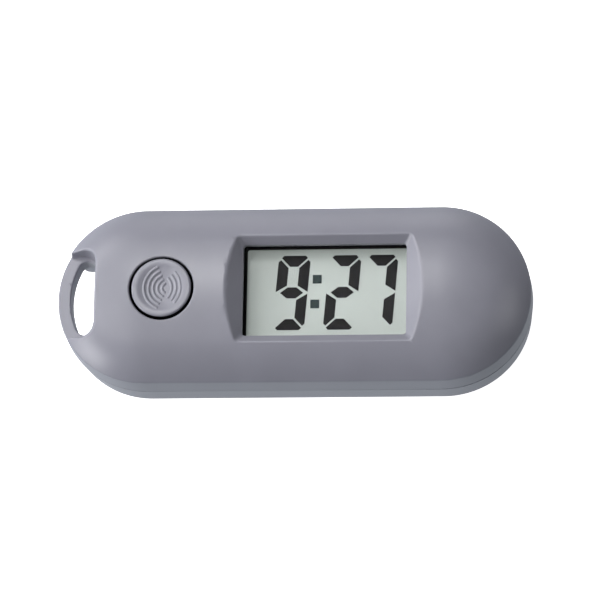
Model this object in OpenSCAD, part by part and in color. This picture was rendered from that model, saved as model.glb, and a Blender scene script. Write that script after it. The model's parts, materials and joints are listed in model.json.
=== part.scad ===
// Pocket clock: a pill-shaped case in two halves with a crowned front, one round
// push button, a recessed seven-segment display and a lanyard bar at one end.
//
// Frame: the origin is the middle of the rear face. +X runs along the case away from
// the lanyard bar, +Y towards the top of the digits, +Z out of the display.
// All sizes are in millimetres.

/* [Case] */
// Length of the case at the crease between side wall and crown
case_l = 79.4; // [79:0.1:82]
// Width of the case at the crease
case_w = 30; // [30:0.1:31]
// Height of the crease above the rear face
crease_z = 12.4; // [12.2:0.1:12.6]
// Height of the middle of the crowned front
crown_z = 17; // [17:0.1:17.4]
// Height of the parting line between the two halves
parting_z = 7.4; // [7.2:0.1:7.6]
// Gap of the shadow line between the two halves
parting_gap = 0.16; // [0.1:0.02:0.2]
// Wall thickness of both halves
wall = 1.5; // [1.4:0.1:1.6]
// Radius of the rounded rear edge
rear_edge_r = 1.1; // [0.6:0.1:1.3]

/* [Window] */
// Distance of the window's middle from the case's middle, to the right
window_x = 5.55; // [5:0.05:6.5]
// Distance of the front's openings from the case's middle line, upwards
front_y = 0.15; // [0:0.05:0.2]
// Width of the window at its inner edge
window_w = 27.2; // [25:0.1:28]
// Height of the window at its inner edge
window_h = 15.6; // [15:0.1:16]
// Height of the inner edge above the rear face
window_z = 14.7; // [14:0.1:14.8]
// How far the bevel's side edges bulge past its corners
bevel_bulge = 1.8; // [0.6:0.1:2]

/* [Button] */
// Distance of the button's axis from the case's middle, towards the lanyard end
button_x = 21.45; // [21:0.05:22]
// Radius of the button cap
button_r = 5; // [4.6:0.1:5]
// Radius of the hole in the front half
button_bore_r = 5.4; // [5.3:0.05:5.6]
// Travel of the button
button_travel = 0.5; // [0.2:0.1:0.5]
// Travel of the two rear keys
key_travel = 0.4; // [0.2:0.1:0.4]

/* [Lanyard end] */
// Distance of the end wall from the case's middle
end_wall_x = 32.9; // [32.8:0.1:33]
// Width of the lanyard bar
bar_w = 2.1; // [1.8:0.1:2.3]
// Highest point of the lanyard bar
bar_z1 = 11; // [10.6:0.1:11.2]
// Half width of the pocket in the front half
pocket_half = 7.2; // [7:0.1:7.6]
// Half length of the hole behind the bar
hole_half = 6.4; // [6:0.1:6.6]
// Half width of the recess in the rear half
recess_half = 7.8; // [7.5:0.1:8.2]

/* [Display] */
// Height of a digit
digit_h = 12.9; // [12:0.1:13]
// Width of a digit
digit_w = 5.36; // [5.2:0.02:5.6]
// Height of a digit's level strokes
stroke = 1.9; // [1.6:0.05:2]
// Width of a digit's upright strokes
side_stroke = 1.78; // [1.5:0.02:1.8]
// Lean of the digits in degrees
lean = 4.5; // [0:0.5:6]

/* [Battery door] */
// Distance of the coin cell's axis from the case's middle
cell_x = 6; // [5.5:0.1:6.5]
// Radius of the battery door
door_r = 11.62; // [11.6:0.01:11.65]
// Radius of the opening in the rear half
door_bore_r = 11.7; // [11.7:0.01:11.72]
// Angle between the door's locked and open positions in degrees
door_turn = 45; // [40:1:50]

/* [Hidden] */

// Facets of true curves, and of the few curves that stay facetted
round_fn = 96;
hull_fn = 24;
eps = 0.01;

// Outline: half width at the crease, at the parting line and at the rear face
half_w = case_w / 2;
part_half = half_w + 0.15;
rear_half = half_w - 0.25;
cap_x = case_l / 2 - half_w;
inner_half = half_w - wall;
front_z0 = parting_z + parting_gap / 2;
rear_z1 = parting_z - parting_gap / 2;

// Crown: a wide arc over the middle, and a tighter arc that meets it on one tangent
// line and ends at the crease
flat_r = 44;
flat_cz = crown_z - flat_r;
blend_y = 8;
blend_angle = asin(blend_y / flat_r);
blend_dir = [sin(blend_angle), cos(blend_angle)];
crease_rel = [half_w, crease_z - flat_cz];
arc_shift = (crease_rel * crease_rel - flat_r * flat_r)
    / (2 * (crease_rel * blend_dir - flat_r));
side_r = flat_r - arc_shift;
side_c = [0, flat_cz] + arc_shift * blend_dir;

// Tongue of the rear half inside the rebate of the front half
tongue_w = 0.7;
tongue_h = 0.95;
tongue_gap = 0.1;

// Window: thickness of its land and overhang of the bevel at the crown
land_t = 0.9;
land_z0 = window_z - land_t;
bevel_dx = 0.95;
bevel_dy = 1.35;
bevel_top_z = 16.3;
frame_margin = 2.3;

// Axis of the button, in plan
button_at = [-button_x, front_y];

// Lanyard end
cap_origin = [-cap_x, 0, 0];
hole_r = half_w - bar_w;
end_inner_x = -end_wall_x + wall;
pocket_corner_r = 2.6;
recess_corner_r = 2;
hole_corner_r = 2.3;

// Heights of the electronics
pcb_z0 = 7.2;
pcb_z1 = 8.2;
guide_z0 = 8.9;
reflector_z0 = 10.2;
rear_glass_z0 = 10.45;
segment_z0 = 11.15;
front_glass_z0 = 11.2;
polariser_z0 = 11.9;
gasket_z0 = 12.1;
lens_z0 = 12.5;

// Display glass, seen from the front
glass_x = [window_x - 15, window_x + 15];
glass_y = [-10.9, 9.4];
ledge_y = -8.7;
digit_y = 0.66;
digit_x = [-0.3, 8.2, 14.38];
colon_at = [3.8, 0.84];
colon_size = 1.5;
colon_pitch = 4.3;
segment_gap = 0.16;

// Circuit board
pcb_x = [-26, 26.5];
pcb_half_y = 12;
pcb_screw_at = [[-13.2, 10], [-13.2, -10], [24.2, 8.6], [24.2, -8.6]];
pcb_pilot_r = 0.62;
pcb_boss_r = 1.7;

// Case screws
case_screw_at = [[-29.5, 0], [30.5, 7.5], [30.5, -7.5]];
case_boss_r = 2;
case_post_r = 2.5;
case_pilot_r = 0.75;
case_head_r = 1.9;
case_head_z = [0.7, 1.9];
case_shank_z1 = 12.2;
counterbore_r = 2;
counterbore_z = 1.9;

// Battery compartment
cell_r = 10;
cell_z0 = 1.9;
cell_z1 = 5.1;
floor_z = 1.5;
door_z1 = 1.4;
lug_r = 12.55;
lug_slot_r = 12.75;
lug_z = [1.62, 2.4];
lug_angle = 20;
slot_angle = 26;
lug_count = 3;
seal_r = 0.32;
seal_z = 0.85;
holder_r = [10.3, 12.9];
holder_z0 = 2.65;

// Rear keys
key_at = [[-16.5, 6.5], [-16.5, -6.5]];
key_r = 1.75;
key_bore_r = 1.83;
key_z0 = 0.25;
key_plunger_z = [4.1, 5.3];
key_housing_z0 = 4.6;

// Front button
button_top_z = crown_z + 0.1;
button_flange_z = [13.3, 14.1];
button_flange_r = 5.75;
collar_z0 = 14.2;
collar_r = 6.9;
switch_z1 = 11.7;
plunger_z = [10.4, 12.3];
plunger_r = 1.7;

case_colour = [0.47, 0.47, 0.51];
black = [0.07, 0.07, 0.07];
steel = [0.72, 0.72, 0.7];
gold = [0.83, 0.66, 0.33];

// ---- shared shapes ----

// The two limits that lie a half size either side of a middle
function about(middle, half) = [middle - half, middle + half];

// Half of the crown's cross-section, inset by t: x is the distance from the middle
module crown_2d(t) {
    reach = flat_r + 5;
    union() {
        intersection() {
            translate([0, flat_cz]) circle(r = flat_r - t, $fn = round_fn);
            polygon([[0, flat_cz], reach * blend_dir + [0, flat_cz], [0, flat_cz + reach]]);
        }
        intersection() {
            translate(side_c) circle(r = side_r - t, $fn = round_fn);
            translate([0, -side_r]) square([2 * half_w, 3 * side_r]);
        }
    }
}

// Half cross-section of the front half, inset by t
module front_2d(t = 0) {
    intersection() {
        crown_2d(t);
        translate([0, crease_z - t]) square([half_w - t, crown_z]);
    }
    polygon([
        [0, front_z0], [part_half - t, front_z0],
        [half_w - t, crease_z - t], [0, crease_z - t]
    ]);
}

// Half cross-section of the rear half
module rear_2d() {
    translate([rear_half - rear_edge_r, rear_edge_r]) circle(r = rear_edge_r, $fn = round_fn);
    polygon([
        [0, 0], [rear_half - rear_edge_r, 0], [rear_half, rear_edge_r],
        [part_half, rear_z1], [0, rear_z1]
    ]);
}

// Half cross-section of the hollow, from z0 up to the underside of the crown
module cavity_2d(z0) {
    intersection() {
        union() {
            crown_2d(wall);
            square([inner_half, crease_z - 2 * wall]);
        }
        translate([0, z0]) square([inner_half, crown_z]);
    }
}

// Sweeps a half cross-section round the pill outline
module pill() {
    translate([-cap_x, 0, 0]) rotate([90, 0, 90]) linear_extrude(2 * cap_x) {
        children();
        mirror([1, 0]) children();
    }
    for (side = [0, 180])
        rotate([0, 0, side]) translate([cap_x, 0, 0]) rotate([0, 0, -90])
            rotate_extrude(angle = 180, $fn = round_fn) children();
}

// Everything to the right of x, as a cutting tool
module right_of(x) {
    translate([x, -case_w, -1]) cube([2 * case_l, 2 * case_w, 2 * crown_z]);
}

// Flat rounded rectangle between two corners, drawn in 2D
module round_rect(x, y, r) {
    translate([x[0] + r, y[0]]) square([x[1] - x[0] - 2 * r, y[1] - y[0]]);
    translate([x[0], y[0] + r]) square([x[1] - x[0], y[1] - y[0] - 2 * r]);
    for (cx = [x[0] + r, x[1] - r], cy = [y[0] + r, y[1] - r])
        translate([cx, cy]) circle(r = r, $fn = 48);
}

// Rounded plate between two heights
module plate(x, y, z, r = 0.3) {
    translate([0, 0, z[0]]) linear_extrude(z[1] - z[0]) round_rect(x, y, r);
}

// Round post or hole between two heights
module post(at, r, z) {
    translate([at[0], at[1], z[0]]) cylinder(r = r, h = z[1] - z[0], $fn = 48);
}

// Ring between two radii and two heights
module ring(at, r, z) {
    difference() {
        post(at, r[1], z);
        post(at, r[0], [z[0] - 1, z[1] + 1]);
    }
}

// Wedge that spans an angle either side of a direction, as a cutting tool
module wedge(at, r, angle, width, z) {
    half = width / 2;
    translate([at[0], at[1], z[0]]) rotate([0, 0, angle]) linear_extrude(z[1] - z[0])
        polygon([[0, 0], 2 * r * [cos(half), -sin(half)], 2 * r * [cos(half), sin(half)]]);
}

// ---- the case ----

// Bevel from the window's inner edge out to the crown, its sides bulging
module window_pit() {
    half = [window_w / 2, window_h / 2];
    out = half + [bevel_dx, bevel_dy];
    arc = [for (i = [0:12]) let (f = i / 6 - 1)
        [out[0] + bevel_bulge * (1 - f * f), f * out[1]]];
    hull() {
        translate([window_x, front_y, window_z]) linear_extrude(eps)
            square(2 * half, center = true);
        translate([window_x, front_y, bevel_top_z]) linear_extrude(eps)
            polygon(concat(arc, -arc));
    }
    translate([window_x, front_y, bevel_top_z]) linear_extrude(crown_z)
        polygon(concat(arc, -arc));
    plate(about(window_x, half[0]), about(front_y, half[1]), [land_z0 - 1, window_z + eps], 0.5);
}

// Pocket above the bar, with rounded inner corners
module lanyard_pocket() {
    plate([-case_l, -end_wall_x], about(front_y, pocket_half), [bar_z1, 2 * crown_z], pocket_corner_r);
}

// D-shaped hole between the end wall and the bar
module lanyard_hole() {
    translate([0, 0, -1]) linear_extrude(2 * crown_z) intersection() {
        translate([-cap_x, 0]) circle(r = hole_r, $fn = round_fn);
        round_rect([-case_l, -end_wall_x], about(front_y, hole_half), hole_corner_r);
    }
}

// Bosses, collar and window land that stand inside the front half
module front_inside() {
    intersection() {
        pill() front_2d(wall / 2);
        union() {
            plate(about(window_x, window_w / 2 + frame_margin),
                about(front_y, window_h / 2 + frame_margin), [land_z0, crown_z], 1);
            post(button_at, collar_r, [collar_z0, crown_z]);
            for (at = pcb_screw_at) post(at, pcb_boss_r, [pcb_z1, crown_z]);
            for (at = case_screw_at) post(at, case_boss_r, [front_z0, crown_z]);
        }
    }
}

module front_shell() {
    color(case_colour) difference() {
        union() {
            difference() {
                pill() front_2d();
                intersection() {
                    pill() cavity_2d(front_z0 - 1);
                    right_of(end_inner_x);
                }
            }
            front_inside();
        }
        window_pit();
        post(button_at, button_bore_r, [collar_z0 - 1, 2 * crown_z]);
        lanyard_pocket();
        lanyard_hole();
        intersection() {
            pill() translate([0, front_z0 - 1])
                square([inner_half + tongue_w + tongue_gap, tongue_h + 2 * tongue_gap + 1]);
            right_of(end_inner_x);
            difference() {
                right_of(end_inner_x);
                front_keep_out();
            }
        }
        for (at = pcb_screw_at) post(at, pcb_pilot_r, [pcb_z1 - 1, 12.6]);
        for (at = case_screw_at) post(at, case_pilot_r, [front_z0 - 1, 13]);
    }
}

// Boss feet that the rebate doesn't cut
module front_keep_out() {
    for (at = case_screw_at) post(at, case_boss_r, [front_z0 - 2, crown_z]);
}

// Opening for the battery door, with the slots its lugs pass through
module door_opening() {
    post([cell_x, 0], door_bore_r, [-1, floor_z + 1]);
    for (i = [0:lug_count - 1]) intersection() {
        post([cell_x, 0], lug_slot_r, [-1, floor_z + 1]);
        wedge([cell_x, 0], lug_slot_r, i * 360 / lug_count + 90 + door_turn, slot_angle,
            [-2, floor_z + 2]);
    }
}

module rear_shell() {
    color(case_colour) difference() {
        union() {
            difference() {
                pill() rear_2d();
                intersection() {
                    pill() translate([0, floor_z]) square([inner_half, crown_z]);
                    right_of(end_inner_x);
                }
            }
            intersection() {
                pill() translate([inner_half, parting_z - 2]) square([tongue_w, 2 + tongue_h]);
                right_of(end_inner_x + 1);
            }
            for (at = case_screw_at) post(at, case_post_r, [floor_z - eps, rear_z1]);
            for (at = key_at) post(at, key_bore_r + 1, [0.5, floor_z + 0.6]);
        }
        plate([-case_l, -end_wall_x], about(front_y, recess_half), [-1, crown_z], recess_corner_r);
        door_opening();
        for (at = key_at) post(at, key_bore_r, [-1, floor_z + 1]);
        for (at = case_screw_at) {
            post(at, counterbore_r, [-1, counterbore_z]);
            post(at, case_pilot_r + 0.2, [0, rear_z1 + 1]);
        }
    }
}

module case_screws() {
    color(steel) for (at = case_screw_at) difference() {
        union() {
            post(at, case_head_r, case_head_z);
            post(at, case_pilot_r - 0.05, [case_head_z[0] + 0.2, case_shank_z1]);
        }
        for (turn = [0, 90]) translate([at[0], at[1], case_head_z[0]]) rotate([0, 0, turn])
            cube([2.2, 0.5, 1.2], center = true);
    }
}

// ---- button, keys and their switches ----

// Cap with a dished top, a flange that stops it and a stem to its switch
module front_button() {
    dish_r = 14;
    dish_depth = 0.6;
    color(case_colour) translate(button_at) difference() {
        rotate_extrude($fn = round_fn) difference() {
            union() {
                translate([0, button_flange_z[0]])
                    square([button_flange_r, button_flange_z[1] - button_flange_z[0]]);
                translate([0, button_flange_z[0]])
                    square([button_r, button_top_z - button_flange_z[0]]);
                translate([0, plunger_z[1]]) square([1.5, 2]);
            }
            translate([0, button_top_z + dish_r - dish_depth]) circle(r = dish_r, $fn = round_fn);
        }
    }
}

module front_plunger() {
    color(black) post(button_at, plunger_r, plunger_z);
}

module front_switch() {
    color(steel) difference() {
        plate(about(button_at[0], 3), about(button_at[1], 3), [pcb_z1, switch_z1], 0.4);
        post(button_at, plunger_r + 0.06, [plunger_z[0] - button_travel - 0.3, crown_z]);
    }
}

// Rear key: a small round cap with a flange behind the floor and a stem
module rear_key(at) {
    color(black) {
        post(at, key_r, [key_z0, floor_z + 0.7]);
        post(at, key_r + 0.7, [floor_z + 0.7, floor_z + 1.2]);
        post(at, 0.9, [floor_z + 1, key_plunger_z[0]]);
    }
}

module mode_key() {
    rear_key(key_at[0]);
}

module set_key() {
    rear_key(key_at[1]);
}

module mode_plunger() {
    color("ivory") post(key_at[0], 1.1, key_plunger_z);
}

module set_plunger() {
    color("ivory") post(key_at[1], 1.1, key_plunger_z);
}

module key_switches() {
    color(steel) for (at = key_at) difference() {
        plate(about(at[0], 2.2), about(at[1], 2.2), [key_housing_z0, pcb_z0], 0.3);
        post(at, 1.16, [key_housing_z0 - 1, key_plunger_z[1] + key_travel + 0.3]);
    }
}

// ---- display ----

module display_lens() {
    color([0.85, 0.9, 0.9, 0.35])
        plate(about(window_x, 14.7), about(0, 9.2), [lens_z0, land_z0], 0.6);
}

module display_gasket() {
    inset = 0.05;
    left_inset = 0.4;
    color(black) difference() {
        plate(about(window_x, 14.9), about(0, 9.4), [gasket_z0, lens_z0], 0.6);
        plate([window_x - window_w / 2 + left_inset, window_x + window_w / 2 - inset],
            about(front_y, window_h / 2 - inset), [gasket_z0 - 1, lens_z0 + 1], 0.4);
    }
}

module lcd_front_polariser() {
    color([0.75, 0.8, 0.72, 0.35])
        plate(about(window_x, 14.3), about(0, 8.9), [polariser_z0, gasket_z0], 0.2);
}

module lcd_front_glass() {
    color([0.8, 0.85, 0.78, 0.35]) plate(glass_x, glass_y, [front_glass_z0, polariser_z0], 0.1);
}

module lcd_rear_glass() {
    color([0.8, 0.85, 0.78, 0.35])
        plate(glass_x, [ledge_y, glass_y[1]], [rear_glass_z0, segment_z0], 0.1);
}

module lcd_reflector() {
    color([0.74, 0.78, 0.68])
        plate(about(window_x, 14.3), [ledge_y + 0.2, 9.1], [reflector_z0, rear_glass_z0], 0.2);
}

// Seven strokes in the order top, upper right, lower right, bottom, lower left,
// upper left, middle. Bars have mitred ends with clipped tips, and sides have mitred
// ends with clipped outer corners.
function segment_points(i) =
    let (
        w = digit_w / 2, h = digit_h / 2, s = stroke, v = side_stroke, g = segment_gap,
        clip = 0.2 * s, m = g * sqrt(2), top = h - s - m + v - clip,
        bar = [
            [-w + v - s + 2 * clip + m, h], [w - v + s - 2 * clip - m, h],
            [w - v + s - clip - m, h - clip], [w - v - m, h - s],
            [-w + v + m, h - s], [-w + v - s + clip + m, h - clip]
        ],
        side = [
            [w, g], [w - v, s / 2 + 2 * g], [w - v, h - s - m], [w - clip, top], [w, top - clip]
        ],
        middle = [
            [-w + v / 2 - g, 0], [-w + v + g, s / 2], [w - v - g, s / 2],
            [w - v / 2 + g, 0], [w - v - g, -s / 2], [-w + v + g, -s / 2]
        ],
        flip = [[1, 1], [1, 1], [1, -1], [1, -1], [-1, -1], [-1, 1], [1, 1]][i],
        points = [bar, side, side, bar, side, side, middle][i]
    )
    [for (p = points) [flip[0] * p[0], flip[1] * p[1]]];

// One digit as thin printed strokes, leaning to the right
module digit(x, on) {
    translate([x, digit_y, segment_z0])
        multmatrix([[1, tan(lean), 0, 0], [0, 1, 0, 0], [0, 0, 1, 0]])
            for (i = on) linear_extrude(front_glass_z0 - segment_z0) polygon(segment_points(i));
}

module lcd_segments() {
    color(black) {
        digit(digit_x[0], [0, 1, 2, 3, 5, 6]);
        digit(digit_x[1], [0, 1, 3, 4, 6]);
        digit(digit_x[2], [0, 1, 2]);
        for (side = [-1, 1]) translate([
            colon_at[0] + side * colon_pitch / 2 * tan(lean),
            colon_at[1] + side * colon_pitch / 2, segment_z0
        ]) linear_extrude(front_glass_z0 - segment_z0) square(colon_size, center = true);
    }
}

module light_guide() {
    color([0.9, 0.92, 0.9, 0.6])
        plate(about(window_x, 13.6), [ledge_y + 0.3, 9.1], [guide_z0, reflector_z0], 0.2);
}

module backlight_led() {
    x1 = window_x - 13.7;
    color("white") plate([x1 - 1.2, x1], [-1.4, 1.4], [pcb_z1, pcb_z1 + 1.6], 0.1);
}

module zebra_strip() {
    color([0.85, 0.45, 0.55]) plate(about(window_x, 14), [-10.6, -9], [pcb_z1, front_glass_z0], 0.1);
}

// Frame that holds the glass, the light guide and the rubber connector
module lcd_holder() {
    color("whitesmoke") difference() {
        plate(glass_x + [-1.2, 1.2], glass_y + [-1.1, 1.1], [pcb_z1, gasket_z0 - 0.1], 0.8);
        plate(glass_x + [-0.05, 0.05], glass_y + [-0.05, 0.05], [reflector_z0, crown_z], 0.1);
        plate(about(window_x, 14.1), [-10.7, -8.9], [0, crown_z], 0.1);
        plate(about(window_x, 14.95), [ledge_y + 0.1, 9.2], [0, crown_z], 0.2);
    }
}

// ---- circuit board ----

module pcb() {
    color([0.1, 0.32, 0.16]) difference() {
        plate(pcb_x, pcb_half_y * [-1, 1], [pcb_z0, pcb_z1], 2);
        for (at = pcb_screw_at) post(at, 0.8, [pcb_z0 - 1, pcb_z1 + 1]);
    }
}

module pcb_screws() {
    color(steel) for (at = pcb_screw_at) difference() {
        union() {
            post(at, 1.4, [pcb_z0 - 0.8, pcb_z0]);
            post(at, pcb_pilot_r - 0.04, [pcb_z0 - 0.4, 12]);
        }
        for (turn = [0, 90]) translate([at[0], at[1], pcb_z0 - 0.8]) rotate([0, 0, turn])
            cube([1.7, 0.4, 0.7], center = true);
    }
}

// Potting over the clock chip: a flat dome
module chip_blob() {
    dome_r = 5.2;
    dome_h = 1.1;
    color(black) translate([-14, 0, pcb_z1]) intersection() {
        translate([0, 0, dome_h - dome_r]) sphere(r = dome_r, $fn = 64);
        cylinder(r = 4, h = dome_h + 1, $fn = 64);
    }
}

module crystal_can() {
    color(steel) translate([23.9, -3.4, pcb_z1 + 1.05]) rotate([-90, 0, 0])
        cylinder(r = 1, h = 6, $fn = 48);
}

module smd_parts() {
    places = [
        [-17.6, 8.6, 0], [-17.6, -8.6, 0], [-20.5, 9.3, 90], [-20.5, -9.3, 90], [25.4, 4.6, 90]
    ];
    color("dimgray") for (p = places) translate([p[0], p[1], pcb_z1 + 0.3]) rotate([0, 0, p[2]])
        cube([1.6, 0.8, 0.6], center = true);
}

// ---- battery ----

// Ring under the board that keeps the cell in place, open for the side contact
module battery_holder() {
    color(black) difference() {
        ring([cell_x, 0], holder_r, [holder_z0, pcb_z0]);
        translate([cell_x + 8, -2.2, 0]) cube([4, 4.4, crown_z]);
    }
}

module coin_cell() {
    color(steel) translate([cell_x, 0, 0]) rotate_extrude($fn = round_fn) difference() {
        union() {
            translate([0, cell_z0]) square([cell_r - 0.5, 0.5]);
            translate([cell_r - 0.5, cell_z0 + 0.5]) circle(r = 0.5, $fn = 32);
            translate([0, cell_z0 + 0.5]) square([cell_r, 2.4]);
        }
        translate([0, cell_z0 + 0.4]) square([cell_r - 0.4, crown_z]);
    }
}

module cell_gasket() {
    color("ivory") ring([cell_x, 0], [8.7, 9.5], [cell_z0 + 0.4, 4.9]);
}

module cell_cap() {
    color(steel) post([cell_x, 0], 8.6, [cell_z0 + 0.45, cell_z1]);
}

// Leaf under the board that presses on the cell's cap
module contact_negative() {
    t = 0.2;
    z0 = cell_z1;
    z1 = pcb_z0;
    color(gold) translate([cell_x, 1.5, 0]) rotate([90, 0, 0]) linear_extrude(3) polygon([
        [-7, z1], [-3.5, z1], [-0.5, z0 + t], [1, z0 + t], [2.2, z0 + 0.8 + t],
        [2.2, z0 + 0.8], [1.1, z0], [-0.6, z0], [-3.6, z1 - t], [-7, z1 - t]
    ]);
}

// Clip under the board whose leg stands against the cell's side
module contact_positive() {
    t = 0.25;
    x0 = cell_x + cell_r;
    color(gold) {
        translate([x0, -1.5, cell_z0 + 1]) cube([t, 3, pcb_z0 - cell_z0 - 1]);
        translate([x0, -1.5, pcb_z0 - t]) cube([1.9, 3, t]);
    }
}

// Door with a coin slot, a seal groove and three lugs that turn behind the floor
module battery_door() {
    rim = [10.7, door_r];
    slot_l = 13;
    slot_w = 2;
    groove = [2 * seal_r + 0.02, 2 * seal_r + 0.06];
    color(case_colour) translate([cell_x, 0, 0]) difference() {
        union() {
            rotate_extrude($fn = round_fn) difference() {
                polygon([[0, 0], [door_r - 0.3, 0], [door_r, 0.3], [door_r, door_z1], [0, door_z1]]);
                translate([door_r - groove[0], seal_z - groove[1] / 2]) square([1, groove[1]]);
            }
            ring([0, 0], rim, [door_z1 - eps, lug_z[1]]);
            for (i = [0:lug_count - 1]) intersection() {
                ring([0, 0], [rim[0], lug_r], lug_z);
                wedge([0, 0], lug_r, i * 360 / lug_count + 90, lug_angle, [0, crown_z]);
            }
            for (i = [0:2]) rotate([0, 0, 120 * i + 30])
                translate([5, 0, door_z1 - eps]) cylinder(r = 1.5, h = 0.3, $fn = 32);
        }
        linear_extrude(1.6, center = true)
            round_rect([-slot_l / 2, slot_l / 2], [-slot_w / 2, slot_w / 2], slot_w / 2 - eps);
    }
}

module door_seal() {
    color(black) translate([cell_x, 0, seal_z]) rotate_extrude($fn = round_fn)
        translate([door_r - seal_r, 0]) circle(r = seal_r, $fn = 24);
}

front_shell();
rear_shell();
front_button();
front_plunger();
front_switch();
display_lens();
display_gasket();
lcd_front_polariser();
lcd_front_glass();
lcd_segments();
lcd_rear_glass();
lcd_reflector();
light_guide();
backlight_led();
zebra_strip();
lcd_holder();
pcb();
chip_blob();
crystal_can();
smd_parts();
battery_holder();
contact_negative();
contact_positive();
coin_cell();
cell_gasket();
cell_cap();
battery_door();
door_seal();
mode_key();
set_key();
mode_plunger();
set_plunger();
key_switches();
pcb_screws();
case_screws();
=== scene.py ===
import json
import math

import bmesh
import bpy
import numpy as np
import openvdb
from mathutils import Matrix, Vector


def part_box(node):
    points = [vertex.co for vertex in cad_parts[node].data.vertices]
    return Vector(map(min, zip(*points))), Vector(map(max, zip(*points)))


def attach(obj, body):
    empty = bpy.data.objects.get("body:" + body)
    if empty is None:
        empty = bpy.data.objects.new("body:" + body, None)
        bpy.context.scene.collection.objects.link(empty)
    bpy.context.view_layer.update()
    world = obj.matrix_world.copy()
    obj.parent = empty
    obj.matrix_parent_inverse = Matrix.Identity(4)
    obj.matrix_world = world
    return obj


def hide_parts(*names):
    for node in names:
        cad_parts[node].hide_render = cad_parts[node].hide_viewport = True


# Looks of the pocket clock. Shapes are worked out in millimetres and built in metres.
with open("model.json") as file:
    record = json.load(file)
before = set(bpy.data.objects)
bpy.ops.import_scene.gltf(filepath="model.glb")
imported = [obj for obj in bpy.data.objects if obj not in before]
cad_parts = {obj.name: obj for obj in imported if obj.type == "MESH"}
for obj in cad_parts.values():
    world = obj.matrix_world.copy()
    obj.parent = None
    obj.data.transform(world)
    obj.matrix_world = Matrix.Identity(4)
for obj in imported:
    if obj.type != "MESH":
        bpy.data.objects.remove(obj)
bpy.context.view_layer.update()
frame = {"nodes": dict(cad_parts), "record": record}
nodes = frame["nodes"]
MM = 0.001

# ---- sizes, in millimetres ----


def box_mm(name):
    """Lowest and highest corner of a CAD node, in millimetres."""
    low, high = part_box(name)
    return np.array(low) / MM, np.array(high) / MM


def middle_mm(name):
    """Middle of a CAD node, in millimetres."""
    low, high = box_mm(name)
    return (low + high) / 2


front_low, front_high = box_mm("front_shell")

# Profile of the case: half widths and heights
PART_HALF = front_high[1]
CREASE_HALF = PART_HALF - 0.15
REAR_HALF = PART_HALF - 0.4
CAP_X = front_high[0] - PART_HALF
FRONT_Z0 = front_low[2]
REAR_Z1 = FRONT_Z0 - 0.16
CREASE_Z = 12.4
CROWN_Z = front_high[2]
REAR_EDGE_R = 1.1
WALL = 1.5
INNER_HALF = CREASE_HALF - WALL
FLOOR_Z = 1.5
TONGUE_W = 0.7
TONGUE_Z0 = 5.4
TONGUE_Z1 = 8.35
TONGUE_EDGE_R = 0.1
REBATE_GAP = (0.1, 0.18)
EDGE_R = 0.12
CREASE_R = 0.11
SEAM_R = 0.05
SEAM_CLOSED = 0.12
SEAM_OPENS_X = (16, 24)

# Crown: a wide arc, and a tighter arc that leaves it on a tangent and ends at the crease
WIDE_R = 44
WIDE_CZ = CROWN_Z - WIDE_R
BLEND_Y = 8
BLEND = math.asin(BLEND_Y / WIDE_R)
TIGHT_R = 12.67
TIGHT_C = (
    (WIDE_R - TIGHT_R) * math.sin(BLEND),
    WIDE_CZ + (WIDE_R - TIGHT_R) * math.cos(BLEND),
)

# Window, button and lanyard end
FRONT_Y = middle_mm("front_button")[1]
WINDOW_X = middle_mm("display_lens")[0]
WINDOW_HALF = (13.6, 7.8)
WINDOW_CORNER_R = 0.5
WINDOW_EDGE_R = 0.04
LAND_Z0 = box_mm("display_lens")[1][2]
LAND_MARGIN = 2.3
LAND_CORNER_R = 1
WINDOW_Z = LAND_Z0 + 0.9
BEVEL = (0.95, 1.35)
BEVEL_BULGE = 1.8
BEVEL_CORNER_R = 0.4
BEVEL_EDGE_R = 0.2
BUTTON_AT = tuple(middle_mm("front_button")[:2])
BUTTON_R = 5.0
BUTTON_EDGE_R = 0.35
BUTTON_STEM_R = 1.5
BUTTON_BORE_R = 5.4
BORE_EDGE_R = 0.3
FLANGE_R = 5.75
FLANGE_Z = (13.3, 14.1)
DISH_R = 14
DISH_DEPTH = 0.6
DISH_HALF = 3.85
RIM_R = (4.05, 4.2, 4.45)
# Painted shade in the gap round the button: its lowest height, the width of its soft edge, and its
# near-black colour
GAP_SHADE_Z0 = 11.0
GAP_SHADE_FADE = 0.03
GAP_SHADE_BLACK = (0.006, 0.006, 0.007, 1)
COLLAR_R = 6.9
COLLAR_Z0 = 14.2
END_WALL_X = 32.9
BAR_Z1 = 11.0
BAR_W = 2.1
POCKET_HALF = 7.2
POCKET_LEAN = 0.12
POCKET_CORNER_R = 2.6
POCKET_FLOOR_R = 0.3
POCKET_EDGE_R = 0.45
POCKET_TIP_EDGE_R = 0.3
HOLE_HALF = 6.4
HOLE_CORNER_R = (1.6, 2.3)
HOLE_TIP_R = 0.8
HOLE_EDGE_R = 0.25
RECESS_HALF = 7.8
RECESS_CORNER_R = 2
RECESS_EDGE_R = 0.3
PAST_TIP = 20

# Screws, keys and door
PCB_SCREWS = [(-13.2, 10), (-13.2, -10), (24.2, 8.6), (24.2, -8.6)]
PCB_BOSS_R = 1.7
PCB_BOSS_Z0 = 8.2
PCB_PILOT_R = 0.62
CASE_SCREWS = [(-29.5, 0), (30.5, 7.5), (30.5, -7.5)]
CASE_BOSS_R = 2
CASE_POST_R = 2.5
CASE_PILOT_R = 0.75
CASE_CLEARANCE_R = 0.95
PILOT_Z1 = 12.8
WELL_R = 2
WELL_EDGE_R = 0.15
HEAD_R = 1.9
HEAD_Z = (0.7, 1.9)
HEAD_EDGE_R = 0.3
SHANK_R = 0.7
SHANK_Z = (1.5, 12.2)
THREAD_DEPTH = 0.06
THREAD_PITCH = 1 / 1.4
CROSS_HALF = (0.22, 1.05)
CROSS_Z1 = 1.3
KEYS = [tuple(middle_mm(name)[:2]) for name in ("mode_key", "set_key")]
KEY_R = 1.75
KEY_BORE_R = 1.83
KEY_BORE_EDGE_R = 0.2
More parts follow.
